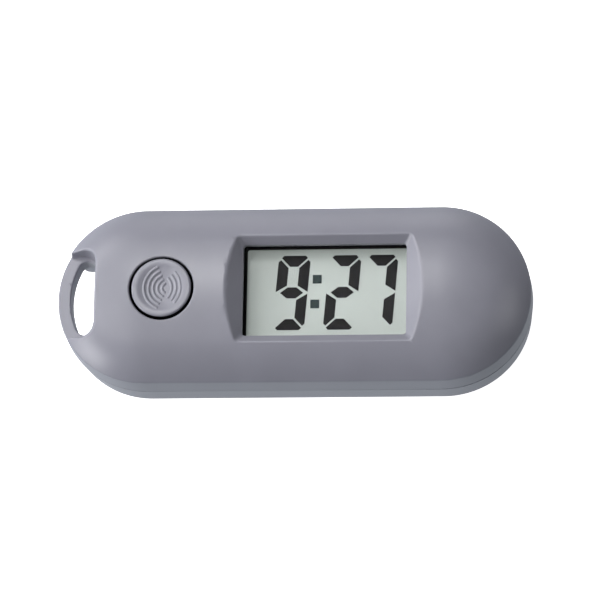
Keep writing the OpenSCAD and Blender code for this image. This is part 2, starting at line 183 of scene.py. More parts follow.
KEY_PAD_R = 2.83
KEY_DOME = 0.1
KEY_RIM_R = 0.3
KEY_FLANGE_R = 2.45
KEY_FLANGE_Z = (2.2, 2.7)
KEY_STEM_R = 0.9
CELL_X = middle_mm("battery_door")[0]
DOOR_R = 11.62
DOOR_BORE_R = 11.7
DOOR_Z1 = 1.4
DOOR_EDGE_R = 0.2
DOOR_RIM_R = 10.7
LUG_Z = (1.62, 2.4)
LUG_R = 12.55
LUG_SLOT_R = 12.75
LUG_ANGLE = 20
SLOT_ANGLE = 26
OPEN_ANGLE = 45
SEAL_Z = 0.85
SEAL_HALF = 0.35
SEAL_DEPTH = 0.66
COIN_SLOT = (6.5, 1)
COIN_SLOT_Z1 = 0.8
COIN_SLOT_EDGE_R = 0.2
COIN_SLOT_FLOOR_R = 0.15
ARROW_X = (-10, -8.6)
ARROW_SPREAD = 0.55
ARROW_Z1 = 0.18
ARROW_EDGE_R = 0.06
MARK_R = 0.42
MARK_Z1 = 0.15
MARK_EDGE_R = 0.08
MARK_AWAY = 13.35

# ---- distance fields, in millimetres and negative inside ----


def round_max(a, b, r):
    """What a and b have in common, its edge rounded by r."""
    both = np.hypot(np.maximum(a + r, 0), np.maximum(b + r, 0))
    return np.minimum(-r, np.maximum(a, b)) + both


def cut(body, tool, r=EDGE_R):
    """The body without the tool, the new edge rounded by r."""
    return round_max(body, -tool, r)


def spine(x, y):
    """Distance in plan from the line that the case's outline is drawn round."""
    return np.hypot(np.maximum(np.abs(x) - CAP_X, 0), y)


def post(x, y, at, r):
    """Distance in plan from a circle."""
    return np.hypot(x - at[0], y - at[1]) - r


def posts(x, y, places, r):
    """Distance in plan from the nearest of several equal circles."""
    nearest = post(x, y, places[0], r)
    for at in places[1:]:
        nearest = np.minimum(nearest, post(x, y, at, r))
    return nearest


def plan_rect(x, y, half_x, half_y, r):
    """Distance in plan from a rounded rectangle about the origin."""
    qx = np.abs(x) - half_x + r
    qy = np.abs(y) - half_y + r
    return np.minimum(np.maximum(qx, qy), 0) + np.hypot(np.maximum(qx, 0), np.maximum(qy, 0)) - r


def between(z, low, high):
    """Distance from a slab between two heights."""
    return np.maximum(low - z, z - high)


def profile_line(d, z, low, high):
    """Distance outside a straight side of the profile that rises from low to high."""
    run = high[0] - low[0]
    rise = high[1] - low[1]
    return ((d - low[0]) * rise - (z - low[1]) * run) / math.hypot(run, rise)


def crown(d, z):
    """Distance above the crown."""
    wide = np.hypot(d, z - WIDE_CZ) - WIDE_R
    tight = np.hypot(d - TIGHT_C[0], z - TIGHT_C[1]) - TIGHT_R
    return np.where(d * math.cos(BLEND) < (z - WIDE_CZ) * math.sin(BLEND), wide, tight)


def crown_height(y):
    """Height of the crown beside the case's long middle."""
    y = np.minimum(np.abs(y), CREASE_HALF)
    wide = WIDE_CZ + np.sqrt(WIDE_R**2 - y**2)
    tight = TIGHT_C[1] + np.sqrt(TIGHT_R**2 - (y - TIGHT_C[0]) ** 2)
    return np.where(y < BLEND_Y, wide, tight)


def window_pit(x, y, z):
    """Bevels from the window's inner edge up to the crown, the two short ones bulging."""
    out_y = WINDOW_HALF[1] + BEVEL[1]
    from_middle = y - FRONT_Y
    rise = crown_height(FRONT_Y + np.sign(from_middle) * out_y) - WINDOW_Z
    long_sides = np.abs(from_middle) - WINDOW_HALF[1] - BEVEL[1] * (z - WINDOW_Z) / rise
    long_sides = long_sides / np.hypot(1, BEVEL[1] / rise)
    bulge = 1 - np.minimum((from_middle / out_y) ** 2, 1.3)
    reach = BEVEL[0] + BEVEL_BULGE * bulge
    height = crown_height(y) - WINDOW_Z
    short_sides = np.abs(x - WINDOW_X) - WINDOW_HALF[0] - reach * (z - WINDOW_Z) / height
    short_sides = short_sides / np.hypot(1, reach / height)
    return round_max(long_sides, short_sides, BEVEL_CORNER_R)


def beyond_wall(x, y, half_y, r):
    """Distance in plan from a rounded rectangle that runs from the end wall out past the
    case's tip."""
    return plan_rect(x + END_WALL_X + PAST_TIP, y - FRONT_Y, PAST_TIP, half_y, r)


def lanyard_pocket(x, y, z):
    """Pocket above the lanyard bar, its long walls leaning outwards a little."""
    half_y = POCKET_HALF + POCKET_LEAN * (z - BAR_Z1)
    plan = beyond_wall(x, y, half_y, POCKET_CORNER_R)
    return round_max(plan, BAR_Z1 - z, POCKET_FLOOR_R)


def lanyard_hole(x, y):
    """D-shaped hole between the bar and the end wall."""
    low_r, high_r = HOLE_CORNER_R
    plan = beyond_wall(x, y, HOLE_HALF, np.where(y > 0, high_r, low_r))
    return round_max(plan, post(x, y, (-CAP_X, 0), CREASE_HALF - BAR_W), HOLE_TIP_R)


def front_shell(x, y, z):
    """The front half: crown, side wall, window, button hole and lanyard bar."""
    d = spine(x, y)
    side = profile_line(d, z, (PART_HALF, FRONT_Z0), (CREASE_HALF, CREASE_Z))
    outer = round_max(crown(d, z), side, CREASE_R)
    outer = round_max(outer, FRONT_Z0 - z, SEAM_R)
    hollow = np.maximum(crown(d, z) + WALL, d - INNER_HALF)
    beside, above = REBATE_GAP
    rebate = np.maximum(d - INNER_HALF - TONGUE_W - beside, z - TONGUE_Z1 - above)
    hollow = np.maximum(np.minimum(hollow, rebate), WALL - END_WALL_X - x)
    half = np.array(WINDOW_HALF) + LAND_MARGIN
    land = plan_rect(x - WINDOW_X, y - FRONT_Y, *half, LAND_CORNER_R)
    inside = np.maximum(land, LAND_Z0 - z)
    inside = np.minimum(inside, np.maximum(post(x, y, BUTTON_AT, COLLAR_R), COLLAR_Z0 - z))
    inside = np.minimum(inside, np.maximum(posts(x, y, PCB_SCREWS, PCB_BOSS_R), PCB_BOSS_Z0 - z))
    inside = np.minimum(inside, np.maximum(posts(x, y, CASE_SCREWS, CASE_BOSS_R), FRONT_Z0 - z))
    body = np.maximum(outer, np.minimum(-hollow, inside))
    pilots = posts(x, y, PCB_SCREWS, PCB_PILOT_R)
    pilots = np.minimum(pilots, posts(x, y, CASE_SCREWS, CASE_PILOT_R))
    body = np.maximum(body, -np.maximum(pilots, z - PILOT_Z1))
    aperture = plan_rect(x - WINDOW_X, y - FRONT_Y, *WINDOW_HALF, WINDOW_CORNER_R)
    opening = cut(-window_pit(x, y, z), aperture, WINDOW_EDGE_R)
    body = round_max(body, opening, BEVEL_EDGE_R)
    body = cut(body, post(x, y, BUTTON_AT, BUTTON_BORE_R), BORE_EDGE_R)
    edge_r = np.where(x < -END_WALL_X - 3, POCKET_TIP_EDGE_R, POCKET_EDGE_R)
    body = cut(body, lanyard_pocket(x, y, z), edge_r)
    return cut(body, lanyard_hole(x, y), HOLE_EDGE_R)


def lug_turn(x, y, angle, width):
    """Distance in plan from three wedges, the first about an angle in degrees."""
    third = math.radians(120)
    turn = np.arctan2(y, x) - math.radians(angle)
    turn = np.abs((turn + third / 2) % third - third / 2) - math.radians(width / 2)
    return turn * np.hypot(x, y)


def rear_shell(x, y, z):
    """The rear half: rounded rear edge, door opening, key holes and screw wells. The seam
    above it is tight, and opens a little towards the right end."""
    d = spine(x, y)
    side = profile_line(d, z, (REAR_HALF, REAR_EDGE_R), (PART_HALF, REAR_Z1))
    outer = round_max(side, -z, REAR_EDGE_R)
    opens, wide = SEAM_OPENS_X
    closed = SEAM_CLOSED * np.clip((wide - x) / (wide - opens), 0, 1)
    outer = round_max(outer, z - REAR_Z1 - closed, SEAM_R)
    hollow = np.maximum(d - INNER_HALF, np.maximum(FLOOR_Z - z, WALL - END_WALL_X - x))
    body = np.maximum(outer, -hollow)
    tongue = np.abs(d - INNER_HALF - TONGUE_W / 2) - TONGUE_W / 2
    tongue = round_max(tongue, between(z, TONGUE_Z0, TONGUE_Z1), TONGUE_EDGE_R)
    body = np.minimum(body, np.maximum(tongue, WALL + 1 - END_WALL_X - x))
    screw_posts = np.maximum(posts(x, y, CASE_SCREWS, CASE_POST_R), between(z, 1, REAR_Z1))
    key_pads = np.maximum(posts(x, y, KEYS, KEY_PAD_R), between(z, 0.5, FLOOR_Z + 0.6))
    body = np.minimum(body, np.minimum(screw_posts, key_pads))
    body = cut(body, beyond_wall(x, y, RECESS_HALF, RECESS_CORNER_R), RECESS_EDGE_R)
    cx = x - CELL_X
    slots = lug_turn(cx, y, 90 + OPEN_ANGLE, SLOT_ANGLE)
    slots = np.maximum(np.hypot(cx, y) - LUG_SLOT_R, slots)
    body = cut(body, np.minimum(post(x, y, (CELL_X, 0), DOOR_BORE_R), slots), EDGE_R)
    body = cut(body, posts(x, y, KEYS, KEY_BORE_R), KEY_BORE_EDGE_R)
    wells = np.maximum(posts(x, y, CASE_SCREWS, WELL_R), z - HEAD_Z[1])
    body = cut(body, wells, WELL_EDGE_R)
    marks = posts(x, y, door_marks(), MARK_R)
    body = cut(body, np.maximum(marks, z - MARK_Z1), MARK_EDGE_R)
    return np.maximum(body, -posts(x, y, CASE_SCREWS, CASE_CLEARANCE_R))


def door_marks():
    """Places of the dots beside the door that show its locked and open positions."""
    return [
        (CELL_X + MARK_AWAY * math.cos(angle), MARK_AWAY * math.sin(angle))
        for angle in (math.radians(180), math.radians(180 + OPEN_ANGLE))
    ]


def battery_door(x, y, z):
    """The door: a disc with a coin slot, an arrow, a seal groove, a rim and three lugs."""
    cx = x - CELL_X
    r = np.hypot(cx, y)
    body = round_max(r - DOOR_R, between(z, 0, DOOR_Z1), DOOR_EDGE_R)
    groove = np.maximum(DOOR_R - SEAL_DEPTH - r, np.abs(z - SEAL_Z) - SEAL_HALF)
    body = np.maximum(body, -groove)
    ring = np.maximum(r - DOOR_R, DOOR_RIM_R - r)
    body = np.minimum(body, np.maximum(ring, between(z, 1, LUG_Z[1])))
    lugs = np.maximum(np.maximum(r - LUG_R, DOOR_RIM_R - r), lug_turn(cx, y, 90, LUG_ANGLE))
    body = np.minimum(body, np.maximum(lugs, between(z, *LUG_Z)))
    coin_slot = plan_rect(cx, y, *COIN_SLOT, 0.99)
    coin_slot = round_max(coin_slot, z - COIN_SLOT_Z1, COIN_SLOT_FLOOR_R)
    body = cut(body, coin_slot, COIN_SLOT_EDGE_R)
    tip, end = ARROW_X
    arrow = np.maximum(np.abs(y) - (cx - tip) * ARROW_SPREAD, cx - end)
    return cut(body, np.maximum(arrow, z - ARROW_Z1), ARROW_EDGE_R)


# ---- meshes ----


def slope_of(field, points, h=0.004):
    """A field's slope at some points."""
    slope = np.empty_like(points)
    for axis in range(3):
        ahead = points.copy()
        behind = points.copy()
        ahead[:, axis] += h
        behind[:, axis] -= h
        slope[:, axis] = (field(*ahead.T) - field(*behind.T)) / (2 * h)
    return slope


def settle(field, points, step):
    """The points moved onto the field's surface, and the surface's normals there."""
    for _ in range(5):
        slope = slope_of(field, points)
        move = field(*points.T) / np.maximum((slope**2).sum(1), 0.05)
        points = points - slope * np.clip(move, -step / 3, step / 3)[:, None]
    slope = slope_of(field, points)
    return points, slope / np.maximum(np.linalg.norm(slope, axis=1), 1e-6)[:, None]


def add_object(name, mesh, material, body, replaced):
    """A new piece that rides on a body and stands for CAD nodes."""
    mesh.materials.append(material)
    piece = bpy.data.objects.new(name, mesh)
    bpy.context.scene.collection.objects.link(piece)
    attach(piece, body)
    if replaced:
        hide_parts(*replaced)
    return piece


def field_mesh(name, field, low, high, step, adaptivity):
    """Mesh of a field's surface inside a box, its points and normals exact."""
    axes = [np.arange(a - 2 * step, b + 3 * step, step) for a, b in zip(low, high)]
    values = field(*np.meshgrid(*axes, indexing="ij", sparse=True))
    band = 3 * step
    volume = openvdb.FloatGrid(background=band)
    volume.copyFromArray(np.clip(values, -band, band).astype(np.float32))
    points, triangles, quads = volume.convertToPolygons(isovalue=0.0, adaptivity=adaptivity)
    points = points.astype(float) * step + [axis[0] for axis in axes]
    points, normals = settle(field, points, step)
    faces = [tuple(map(int, face)) for face in (*triangles, *quads)]
    mesh = bpy.data.meshes.new(name)
    mesh.from_pydata((points * MM).tolist(), [], faces)
    mesh.validate()
    mesh.shade_smooth()
    mesh.normals_split_custom_set_from_vertices(normals.tolist())
    return mesh


def ring_faces(rings, around):
    """Faces between neighbouring rings of points, each closed on itself."""
    return [
        (k * around + i, k * around + (i + 1) % around,
         (k + 1) * around + (i + 1) % around, (k + 1) * around + i)
        for k in range(rings - 1)
        for i in range(around)
    ]


def arc(centre, r, start, end, count):
    """Points of a profile's arc, its angles in degrees."""
    angles = [math.radians(start + (end - start) * k / (count - 1)) for k in range(count)]
    return [(centre[0] + r * math.cos(a), centre[1] + r * math.sin(a)) for a in angles]


def lathe_mesh(name, profile, at, around=96, relief=None):
    """A profile of (radius, height) turned about a vertical axis and closed at both ends.
    relief(x, y, z) gives how far the surface is lifted."""
    points = []
    for r, z in profile:
        for i in range(around):
            turn = 2 * math.pi * i / around
            points.append((r * math.cos(turn), r * math.sin(turn), z))
    points = np.array(points)
    if relief is not None:
        points[:, 2] += relief(points[:, 0], points[:, 1], points[:, 2])
    faces = ring_faces(len(profile), around)
    points = points + [at[0], at[1], 0]
    mesh = bpy.data.meshes.new(name)
    mesh.from_pydata((points * MM).tolist(), [], faces)
    work = bmesh.new()
    work.from_mesh(mesh)
    bmesh.ops.remove_doubles(work, verts=work.verts, dist=1e-7)
    bmesh.ops.holes_fill(work, edges=[e for e in work.edges if e.is_boundary], sides=0)
    bmesh.ops.recalc_face_normals(work, faces=work.faces)
    work.to_mesh(mesh)
    work.free()
    mesh.shade_smooth()
    mesh.set_sharp_from_angle(angle=math.radians(50))
    return mesh


# ---- materials ----


def add_node(tree, kind, inputs=None, **settings):
    """A shader node with its settings, and its inputs set or linked."""
    made = tree.nodes.new(kind)
    for key, value in settings.items():
        setattr(made, key, value)
    for key, value in (inputs or {}).items():
        if isinstance(value, bpy.types.NodeSocket):
            tree.links.new(value, made.inputs[key])
        else:
            made.inputs[key].default_value = value
    return made


def new_material(name):
    """A material with a principled shader, its tree, and the object's own coordinates."""
    material = bpy.data.materials.new(name)
    material.use_nodes = True
    tree = material.node_tree
    place = add_node(tree, "ShaderNodeTexCoord").outputs["Object"]
    return material, tree, tree.nodes["Principled BSDF"], place


def noise(tree, place, size, detail=2.0, roughness=0.5):
    """Noise whose lumps are about a size in millimetres."""
    inputs = {"Vector": place, "Scale": 1 / (size * MM), "Detail": detail, "Roughness": roughness}
    return add_node(tree, "ShaderNodeTexNoise", inputs).outputs["Fac"]


def spread(tree, value, low, high):
    """A value's middle stretch mapped to a range."""
    inputs = {"Value": value, "From Min": 0.3, "From Max": 0.7, "To Min": low, "To Max": high}
    return add_node(tree, "ShaderNodeMapRange", inputs).outputs["Result"]


def tint(tree, value, colour, amount):
    """Two near shades of a colour mixed by a value."""
    darker = [c * (1 - amount) for c in colour] + [1]
    lighter = [min(c * (1 + amount), 1) for c in colour] + [1]
    mix = add_node(tree, "ShaderNodeMix", data_type="RGBA")
    tree.links.new(value, mix.inputs[0])
    mix.inputs[6].default_value = darker
    mix.inputs[7].default_value = lighter
    return mix.outputs[2]


def bump(tree, shader, height, distance):
    """Relief of a height in millimetres on a shader."""
    made = add_node(tree, "ShaderNodeBump", {"Height": height, "Distance": distance * MM})
    tree.links.new(made.outputs["Normal"], shader.inputs["Normal"])


def moulded(name, colour, roughness, grain=0.1, relief=0.003, mottle=0.03, specular=0.5):
    """Moulded plastic or rubber: a fine eroded grain and faint mottling."""
    material, tree, shader, place = new_material(name)
    fine = noise(tree, place, grain, detail=3, roughness=0.6)
    broad = noise(tree, place, 6, detail=3)
    shade = tint(tree, spread(tree, broad, 0, 1), colour, mottle)
    tree.links.new(shade, shader.inputs["Base Color"])
    rough = spread(tree, fine, roughness - 0.05, roughness + 0.05)
    tree.links.new(rough, shader.inputs["Roughness"])
    shader.inputs["Specular IOR Level"].default_value = specular
    bump(tree, shader, fine, relief)
    return material


def metal(name, colour, roughness, brush=(1, 1, 1), relief=0.002):
    """Plated metal with fine scratches, drawn out along the brush's short axis."""
    material, tree, shader, place = new_material(name)
    inputs = {"Vector": place, "Scale": brush}
    drawn = add_node(tree, "ShaderNodeMapping", inputs, vector_type="POINT").outputs["Vector"]
    lines = noise(tree, drawn, 0.15, detail=4, roughness=0.65)
    stain = noise(tree, place, 2.5, detail=4)
    tree.links.new(tint(tree, spread(tree, stain, 0, 1), colour, 0.08), shader.inputs["Base Color"])
    rough = spread(tree, lines, roughness - 0.08, roughness + 0.1)
    tree.links.new(rough, shader.inputs["Roughness"])
    shader.inputs["Metallic"].default_value = 1
    bump(tree, shader, lines, relief)
    return material


def darken_gap(material, low, high):
    """Paints shade: turns a material black and dull between two distances, in millimetres, from
    the button's axis, in the upper part of the case only, so that the gap round the button looks
    dark."""
    tree = material.node_tree
    shader = tree.nodes["Principled BSDF"]
    plain = shader.inputs["Base Color"].links[0].from_socket
    place = add_node(tree, "ShaderNodeTexCoord").outputs["Object"]
    axis = (BUTTON_AT[0] * MM, BUTTON_AT[1] * MM, 0)
    away = add_node(tree, "ShaderNodeVectorMath", {0: place, 1: axis}, operation="SUBTRACT")
    inputs = {0: away.outputs[0], 1: (1, 1, 0)}
    flat = add_node(tree, "ShaderNodeVectorMath", inputs, operation="MULTIPLY")
    length = add_node(tree, "ShaderNodeVectorMath", {0: flat.outputs[0]}, operation="LENGTH")
    length = length.outputs["Value"]
    inputs = {"Value": length, "From Min": low * MM, "From Max": (low + GAP_SHADE_FADE) * MM}
    past = add_node(tree, "ShaderNodeMapRange", inputs).outputs["Result"]
    inputs = {"Value": length, "From Min": high * MM, "From Max": (high - GAP_SHADE_FADE) * MM}
    short = add_node(tree, "ShaderNodeMapRange", inputs).outputs["Result"]
    ring = add_node(tree, "ShaderNodeMath", {0: past, 1: short}, operation="MULTIPLY").outputs[0]
    height = add_node(tree, "ShaderNodeSeparateXYZ", {"Vector": place}).outputs["Z"]
    inputs = {0: height, 1: GAP_SHADE_Z0 * MM}
    above = add_node(tree, "ShaderNodeMath", inputs, operation="GREATER_THAN").outputs[0]
    # Where the painted shade goes: the ring round the button's axis, above the lowest height
    inside = add_node(tree, "ShaderNodeMath", {0: ring, 1: above}, operation="MULTIPLY").outputs[0]
    # Painted shade: the plain colour inside the ring turns near black
    mix = add_node(tree, "ShaderNodeMix", data_type="RGBA")
    tree.links.new(inside, mix.inputs[0])
    tree.links.new(plain, mix.inputs[6])
    mix.inputs[7].default_value = GAP_SHADE_BLACK
    tree.links.new(mix.outputs[2], shader.inputs["Base Color"])
    # No gloss inside the painted shade
    inputs = {"Value": inside, "To Min": 0.5, "To Max": 0}
    dull = add_node(tree, "ShaderNodeMapRange", inputs).outputs["Result"]
    tree.links.new(dull, shader.inputs["Specular IOR Level"])


def clear(name, colour, gloss, grazing, roughness):
    """A clear sheet: what lies behind shows through, under a gloss that grows when seen
    edge on, the same from both sides."""
    material, tree, shader, place = new_material(name)
    tree.nodes.remove(shader)
    fine = noise(tree, place, 1.5, detail=2)
    through = add_node(tree, "ShaderNodeBsdfTransparent", {"Color": (*colour, 1)})
    shine = add_node(tree, "ShaderNodeBsdfGlossy")
    tree.links.new(spread(tree, fine, roughness, roughness + 0.02), shine.inputs["Roughness"])
    facing = add_node(tree, "ShaderNodeLayerWeight", {"Blend": 0.5}).outputs["Facing"]
    steep = add_node(tree, "ShaderNodeMath", {0: facing, 1: 5}, operation="POWER").outputs[0]
    inputs = {0: steep, 1: grazing, 2: gloss}
    share = add_node(tree, "ShaderNodeMath", inputs, operation="MULTIPLY_ADD").outputs[0]
    mix = add_node(tree, "ShaderNodeMixShader", {"Fac": share})
    tree.links.new(through.outputs[0], mix.inputs[1])
    tree.links.new(shine.outputs[0], mix.inputs[2])
    tree.links.new(mix.outputs[0], tree.nodes["Material Output"].inputs["Surface"])
    return material


def lcd_film(name, colour, glow=0.0):
    """Pale film behind the display's strokes: a fine silver fleck, a soft sheen, and, where one
    is given, a glow: painted light, as the film is no lamp."""
    material, tree, shader, place = new_material(name)
    fleck = noise(tree, place, 0.08, detail=2)
    cloud = noise(tree, place, 9, detail=2)
    tree.links.new(tint(tree, spread(tree, cloud, 0, 1), colour, 0.03), shader.inputs["Base Color"])
    tree.links.new(spread(tree, fleck, 0.5, 0.62), shader.inputs["Roughness"])
    # Painted glow: the film gives off light in its own colour
    shader.inputs["Emission Color"].default_value = (*colour, 1)
    shader.inputs["Emission Strength"].default_value = glow
    bump(tree, shader, fleck, 0.001)
    return material


def segment_ink(name, ink, pale):
    """Dark strokes of the digits, the colon's two squares a little paler."""
    material, tree, shader, place = new_material(name)
    split = add_node(tree, "ShaderNodeSeparateXYZ", {"Vector": place})
    squares = add_node(tree, "ShaderNodeMath", {1: COLON_X * MM}, operation="SUBTRACT")
    tree.links.new(split.outputs["X"], squares.inputs[0])
    apart = add_node(tree, "ShaderNodeMath", {0: squares.outputs[0]}, operation="ABSOLUTE")
    inputs = {0: apart.outputs[0], 1: COLON_HALF * MM}
    near = add_node(tree, "ShaderNodeMath", inputs, operation="LESS_THAN")
    mix = add_node(tree, "ShaderNodeMix", data_type="RGBA")
    tree.links.new(near.outputs[0], mix.inputs[0])
    fine = noise(tree, place, 0.4, detail=2)
    tree.links.new(tint(tree, fine, ink, 0.12), mix.inputs[6])
    tree.links.new(tint(tree, fine, pale, 0.12), mix.inputs[7])
    tree.links.new(mix.outputs[2], shader.inputs["Base Color"])
    tree.links.new(spread(tree, fine, 0.55, 0.7), shader.inputs["Roughness"])
    shader.inputs["Specular IOR Level"].default_value = 0.1
    bump(tree, shader, fine, 0.001)
    return material


def solder_mask(name):
    """Green board with copper tracks showing faintly through the mask."""
    material, tree, shader, place = new_material(name)
    inputs = {"Vector": place, "Scale": 1 / (2.2 * MM)}
    cells = add_node(tree, "ShaderNodeTexBrick", inputs)
    cells.inputs["Mortar Size"].default_value = 0.08
    cells.inputs["Mortar Smooth"].default_value = 0.3
    cells.inputs["Color1"].default_value = (0.015, 0.10, 0.035, 1)
    cells.inputs["Color2"].default_value = (0.02, 0.12, 0.045, 1)
    cells.inputs["Mortar"].default_value = (0.04, 0.20, 0.07, 1)
    tree.links.new(cells.outputs["Color"], shader.inputs["Base Color"])
    fine = noise(tree, place, 0.5, detail=3)
    tree.links.new(spread(tree, fine, 0.25, 0.4), shader.inputs["Roughness"])
    bump(tree, shader, cells.outputs["Fac"], 0.03)
    return material


def striped_rubber(name):
    """Connector rubber: thin conducting stripes across its length."""
    material, tree, shader, place = new_material(name)
    inputs = {"Vector": place, "Scale": 1 / (1.2 * MM), "Distortion": 0.2}
    stripes = add_node(tree, "ShaderNodeTexWave", inputs, wave_type="BANDS", bands_direction="X")
    mix = add_node(tree, "ShaderNodeMix", data_type="RGBA")
    tree.links.new(stripes.outputs["Fac"], mix.inputs[0])
    mix.inputs[6].default_value = (0.05, 0.04, 0.04, 1)
    mix.inputs[7].default_value = (0.55, 0.16, 0.22, 1)
    tree.links.new(mix.outputs[2], shader.inputs["Base Color"])
    tree.links.new(spread(tree, stripes.outputs["Fac"], 0.6, 0.75), shader.inputs["Roughness"])
    bump(tree, shader, stripes.outputs["Fac"], 0.01)
    return material


COLON_X = 3.8
COLON_HALF = 1.05
CASE_GREY = (0.238, 0.238, 0.28)
case_plastic = moulded("case_plastic", CASE_GREY, 0.34)
button_plastic = moulded("button_plastic", CASE_GREY, 0.34)
# Painted shade in the gap round the button: on the case's bore wall, and on the cap's side and
# flange
darken_gap(case_plastic, 4.0, BUTTON_BORE_R + 0.02)
darken_gap(button_plastic, BUTTON_R - 0.03, 6.0)
black_plastic = moulded("black_plastic", (0.012, 0.012, 0.013), 0.5)
white_plastic = moulded("white_plastic", (0.72, 0.72, 0.69), 0.5)
black_foam = moulded(
    "black_foam", (0.008, 0.008, 0.009), 0.85, grain=0.25, relief=0.03, specular=0.2
)
black_rubber = moulded("black_rubber", (0.01, 0.01, 0.01), 0.6, grain=0.2, relief=0.01)
black_epoxy = moulded("black_epoxy", (0.01, 0.01, 0.011), 0.25, grain=1.2, relief=0.03)
chip_ceramic = moulded("chip_ceramic", (0.09, 0.05, 0.025), 0.45, grain=0.2, relief=0.006)
light_guide = moulded("light_guide", (0.78, 0.8, 0.78), 0.35, grain=0.3, relief=0.01)
switch_metal = metal("switch_metal", (0.6, 0.6, 0.58), 0.35, brush=(1, 0.1, 1))
can_metal = metal("can_metal", (0.66, 0.66, 0.64), 0.25, brush=(1, 0.1, 1))
screw_steel = metal("screw_steel", (0.42, 0.42, 0.43), 0.34)
contact_gold = metal("contact_gold", (0.72, 0.47, 0.14), 0.28, brush=(0.1, 1, 1))
cell_steel = metal("cell_steel", (0.62, 0.62, 0.6), 0.26, brush=(1, 0.15, 1))
clear_lens = clear("clear_lens", (0.995, 0.995, 0.995), 0.008, 0.5, 0.03)
lcd_glass = clear("lcd_glass", (0.995, 0.995, 0.995), 0.0005, 0.05, 0.05)
polariser_film = clear("polariser_film", (0.98, 0.98, 0.98), 0.0005, 0.05, 0.2)
lcd_silver = lcd_film("lcd_silver", (0.62, 0.70, 0.655))
# The rear film's glow is painted light: it brightens the display and lifts the shade at its edges,
# though the film is no lamp
lcd_rear_film_painted_glow = lcd_film("lcd_rear_film_painted_glow", (0.474, 0.52, 0.492), glow=0.3)
lcd_black = segment_ink("lcd_black", (0.026, 0.025, 0.026), (0.055, 0.075, 0.077))
board_green = solder_mask("board_green")
pink_rubber = striped_rubber("pink_rubber")

# CAD nodes that keep their shape take the material of their slot in the record
finishes = {
    "black_plastic": black_plastic, "white_plastic": white_plastic, "clear_lens": clear_lens,
    "polariser_film": polariser_film, "lcd_glass": lcd_glass, "lcd_black": lcd_black,
    "lcd_silver": lcd_silver, "light_guide": light_guide, "black_foam": black_foam,
    "black_rubber": black_rubber, "pink_rubber": pink_rubber, "board_green": board_green,
    "black_epoxy": black_epoxy, "chip_ceramic": chip_ceramic, "switch_metal": switch_metal,
    "can_metal": can_metal, "screw_steel": screw_steel, "contact_gold": contact_gold,
    "cell_steel": cell_steel, "case_plastic": case_plastic, "button_plastic": button_plastic,
}
for part in frame["record"]["subparts"]:
    node_mesh = nodes[part["node"]].data
    node_mesh.materials.clear()
    node_mesh.materials.append(finishes[part["material_slot"]])
# The rear glass carries the pale film, glowing with painted light, on its face, right under the
# strokes
nodes["lcd_rear_glass"].data.materials[0] = lcd_rear_film_painted_glow

# ---- pieces ----


def add_case():
    """Both halves of the case and the battery door, with rounded edges."""
    for name, field, body, step, adaptivity in (
        ("case_front", front_shell, "case", 0.16, 0.005),
        ("case_rear", rear_shell, "case", 0.15, 0.003),
        ("door_disc", battery_door, "door", 0.15, 0.005),
    ):
        node = field.__name__
        mesh = field_mesh(name, field, *box_mm(node), step, adaptivity)
        add_object(name, mesh, case_plastic, body, [node])


# Raised strokes of the button, plain nested arcs that open to the right and to the left:
# centre, radius, first and last angle in degrees
RIDGE_PITCH = 0.75
RIDGES = [((0.9, 0), 0.8 + k * RIDGE_PITCH, 115, 245) for k in range(5)]
RIDGES += [((-0.9, 0), 2.6 + k * RIDGE_PITCH, -38, 38) for k in range(3)]
RIDGE_HALF = 0.33
RIDGE_HEIGHT = 0.13
RIDGE_CLEARANCE = 0.02
RIDGE_Z0 = 15


def fingertip_ridges(x, y, z):
    """Height of the curved ridges in the button's dish, which stay below its rim."""
    height = np.zeros_like(x)
    for (cx, cy), r, start, end in RIDGES:
        half = math.radians(end - start) / 2
        middle = math.radians(start + end) / 2
        turn = (np.arctan2(y - cy, x - cx) - middle + math.pi) % (2 * math.pi) - math.pi
        past = np.maximum(np.abs(turn) - half, 0) * r
        away = np.hypot(np.hypot(x - cx, y - cy) - r, past) / RIDGE_HALF
        height = np.maximum(height, RIDGE_HEIGHT * np.cos(np.minimum(away, 1) * math.pi / 2) ** 2)
    top = z.max() - RIDGE_CLEARANCE
    return np.where(z > RIDGE_Z0, np.clip(top - z, 0, height), 0)


def add_button():
    """The button cap: a rounded rim, a shallow dish with ridges, a flange and a stem."""
    low, high = box_mm("front_button")
    top = high[2]
    dish = [
        (r, top - DISH_DEPTH + DISH_R - math.sqrt(DISH_R**2 - r**2))
        for r in np.linspace(0.01, DISH_HALF, 100)
    ]
    rim = [(r, top - drop) for r, drop in zip(RIM_R, (0.03, 0, 0))]
    edge = arc((BUTTON_R - BUTTON_EDGE_R, top - BUTTON_EDGE_R), BUTTON_EDGE_R, 90, 0, 10)
    flange_z0, flange_z1 = FLANGE_Z
    flange = [(BUTTON_R, flange_z1), (FLANGE_R, flange_z1), (FLANGE_R, flange_z0)]
    stem = [(BUTTON_STEM_R, flange_z0), (BUTTON_STEM_R, low[2]), (0.01, low[2])]
    profile = dish + rim + edge + flange + stem
    mesh = lathe_mesh("button_cap", profile, BUTTON_AT, 320, fingertip_ridges)
    add_object("button_cap", mesh, button_plastic, "button", ["front_button"])


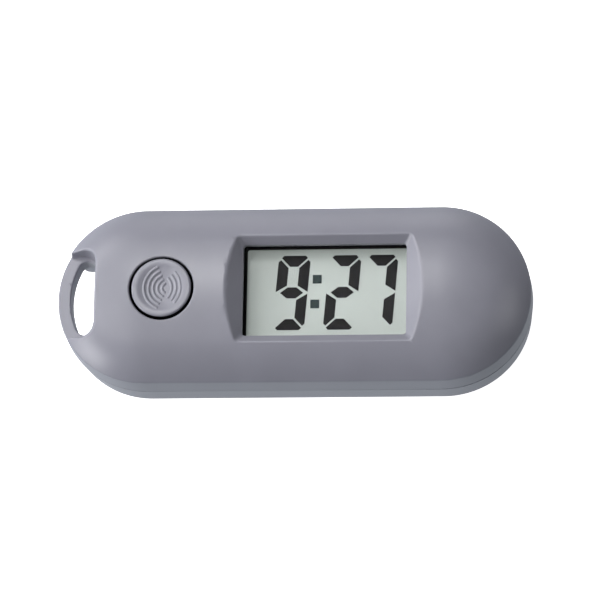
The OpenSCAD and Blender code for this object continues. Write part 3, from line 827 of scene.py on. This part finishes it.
def add_keys():
    """The two rear keys: small domed caps with a rounded rim, a flange and a stem."""
    for name, body in (("mode_key", "mode"), ("set_key", "set")):
        low, high = box_mm(name)
        z0 = low[2]
        rim = KEY_RIM_R
        dome = [(r, z0 + KEY_DOME * (r / KEY_R) ** 2) for r in np.linspace(0.01, KEY_R - rim, 12)]
        edge = arc((KEY_R - rim, z0 + KEY_DOME + rim), rim, 270, 360, 8)
        flange_z0, flange_z1 = KEY_FLANGE_Z
        flange = [(KEY_R, flange_z0), (KEY_FLANGE_R, flange_z0), (KEY_FLANGE_R, flange_z1)]
        stem = [(KEY_STEM_R, flange_z1), (KEY_STEM_R, high[2]), (0.01, high[2])]
        profile = dome + edge + flange + stem
        mesh = lathe_mesh(name + "_cap", profile, middle_mm(name)[:2])
        add_object(name + "_cap", mesh, black_plastic, body, [name])


def screw_field(at):
    """A case screw's field: a pan head with a cross recess, and a threaded shank."""

    def field(x, y, z):
        cx, cy = x - at[0], y - at[1]
        r = np.hypot(cx, cy)
        head = round_max(r - HEAD_R, between(z, *HEAD_Z), HEAD_EDGE_R)
        thin, long = CROSS_HALF
        bars = np.minimum(
            np.maximum(np.abs(cx) - thin, np.abs(cy) - long),
            np.maximum(np.abs(cy) - thin, np.abs(cx) - long),
        )
        head = cut(head, np.maximum(bars, z - CROSS_Z1), 0.06)
        turns = z / THREAD_PITCH + np.arctan2(cy, cx) / (2 * math.pi)
        thread = THREAD_DEPTH * np.abs(turns % 1 * 2 - 1)
        shank = np.maximum(r - SHANK_R + thread, between(z, *SHANK_Z))
        return np.minimum(head, shank)

    return field


def add_screws():
    """The three case screws as one piece of separate solids."""
    whole = bpy.data.meshes.new("screws_cross")
    work = bmesh.new()
    for at in CASE_SCREWS:
        low = (at[0] - HEAD_R, at[1] - HEAD_R, HEAD_Z[0])
        high = (at[0] + HEAD_R, at[1] + HEAD_R, SHANK_Z[1])
        single = field_mesh("screw", screw_field(at), low, high, 0.1, 0.0)
        work.from_mesh(single)
        bpy.data.meshes.remove(single)
    work.to_mesh(whole)
    work.free()
    whole.shade_smooth()
    add_object("screws_cross", whole, screw_steel, "case", ["case_screws"])


add_case()
add_button()
add_keys()
add_screws()

# ---- floor, light and camera ----

# Floor, in metres: half width, how far it reaches to the front, where it starts to curve
# up, the curve's radius, its height, and a gap that keeps it clear of the rear face
FLOOR_HALF = 2.5
FLOOR_FRONT = -2.0
FLOOR_BEND = 0.6
FLOOR_BEND_R = 0.35
FLOOR_TOP = 2.4
FLOOR_GAP = 2e-5
FLOOR_GLOW = 1.0


def add_floor():
    """A floor that curves up far behind the object. It is white by its own glow, and only
    the camera sees it, so it doesn't light the object and no shadow shows on it."""
    work = bmesh.new()
    bend = arc((0, FLOOR_BEND_R), FLOOR_BEND_R, 270, 360, 16)[1:]
    curve = [(FLOOR_FRONT, 0.0), (FLOOR_BEND, 0.0)]
    curve += [(FLOOR_BEND + y, z) for y, z in bend]
    curve += [(FLOOR_BEND + FLOOR_BEND_R, FLOOR_TOP)]
    rows = [
        [work.verts.new((x, y, z - FLOOR_GAP)) for y, z in curve]
        for x in (-FLOOR_HALF, FLOOR_HALF)
    ]
    for k in range(len(curve) - 1):
        work.faces.new((rows[0][k], rows[1][k], rows[1][k + 1], rows[0][k + 1]))
    mesh = bpy.data.meshes.new("floor")
    work.to_mesh(mesh)
    work.free()
    mesh.shade_smooth()
    white = (0.9, 0.9, 0.9)
    paper = moulded("floor_paper", white, 0.9, grain=2, relief=0.002, mottle=0.005, specular=0.1)
    mesh.materials.append(paper)
    glow = paper.node_tree.nodes["Principled BSDF"]
    glow.inputs["Emission Color"].default_value = (1, 1, 1, 1)
    glow.inputs["Emission Strength"].default_value = FLOOR_GLOW
    floor = bpy.data.objects.new("floor", mesh)
    floor.visible_diffuse = False
    floor.visible_glossy = False
    floor.visible_shadow = False
    bpy.context.scene.collection.objects.link(floor)


# Soft lights: azimuth from the front towards the right and elevation in degrees,
# side in metres, power in watts
SOFTBOXES = {
    "front_left": (-60, 20, 0.32, 2.3),
    "left": (-100, 25, 0.4, 2.4),
    "left_high": (-90, 62, 0.35, 1.3),
    "back_left": (-135, 36, 0.35, 1.5),
    "back_low": (180, 14, 0.35, 0.6),
    "back_high": (-160, 66, 0.12, 1.2),
    "right": (90, 36, 0.35, 0.6),
}
LIGHT_DISTANCE = 0.7

# Strength of the surround below the horizon, at the left and at the right, and above it
SURROUND_LEFT = 0.88
SURROUND_RIGHT = 0.42
SURROUND_ABOVE = 0.05
SURROUND_TINT = (0.9, 0.965, 1.03, 1)


def add_softbox(name, azimuth, elevation, side, power):
    """A square soft light aimed at the object."""
    turn, rise = math.radians(azimuth), math.radians(elevation)
    flat = math.cos(rise)
    away = Vector((math.sin(turn) * flat, -math.cos(turn) * flat, math.sin(rise)))
    light = bpy.data.lights.new(name, "AREA")
    light.size = side
    light.energy = power
    lamp = bpy.data.objects.new(name, light)
    lamp.location = away * LIGHT_DISTANCE
    lamp.rotation_euler = away.to_track_quat("Z", "Y").to_euler()
    bpy.context.scene.collection.objects.link(lamp)


def add_light():
    """Soft lights, mostly from the left, and a surround that is pale below and dim above."""
    for name, settings in SOFTBOXES.items():
        add_softbox(name, *settings)
    world = bpy.data.worlds.new("studio")
    world.use_nodes = True
    tree = world.node_tree
    place = add_node(tree, "ShaderNodeTexCoord").outputs["Generated"]
    axes = add_node(tree, "ShaderNodeSeparateXYZ", {"Vector": place})
    side = {"Value": axes.outputs["X"], "From Min": -0.6, "From Max": 0.6}
    inputs = {**side, "To Min": SURROUND_LEFT, "To Max": SURROUND_RIGHT}
    below = add_node(tree, "ShaderNodeMapRange", inputs).outputs["Result"]
    rise = {"Value": axes.outputs["Z"], "From Min": -0.02, "From Max": 0.02}
    inputs = {**rise, "To Min": below, "To Max": SURROUND_ABOVE}
    level = add_node(tree, "ShaderNodeMapRange", inputs)
    tree.links.new(level.outputs["Result"], tree.nodes["Background"].inputs["Strength"])
    tree.nodes["Background"].inputs["Color"].default_value = SURROUND_TINT
    bpy.context.scene.world = world
    bpy.context.scene.view_settings.view_transform = "Standard"
    # The display's clear sheets lie many surfaces deep
    bpy.context.scene.cycles.transparent_max_bounces = 32


# Camera: the front tilts towards the viewer's left and away at the top
TILT = math.radians(15.95)
SIDE = math.radians(5.84)
ROLL = math.radians(1.07)
DISTANCE = 0.5807
LENS = 203.3
SHIFT = (0.0042, 0.0207)


def add_camera():
    """The camera, at the reference view's angle."""
    flat = math.cos(SIDE)
    back = Vector((math.sin(SIDE), -math.sin(TILT) * flat, math.cos(TILT) * flat))
    across = Vector((0, 1, 0)).cross(back).normalized()
    up = back.cross(across)
    right = math.cos(ROLL) * across + math.sin(ROLL) * up
    above = math.cos(ROLL) * up - math.sin(ROLL) * across
    data = bpy.data.cameras.new("camera")
    data.lens = LENS
    data.shift_x, data.shift_y = SHIFT
    data.clip_start = 0.05
    camera = bpy.data.objects.new("camera", data)
    turn = Matrix((right, above, back)).transposed().to_4x4()
    camera.matrix_world = Matrix.Translation(back * DISTANCE) @ turn
    bpy.context.scene.collection.objects.link(camera)
    bpy.context.scene.camera = camera


add_floor()
add_light()
add_camera()
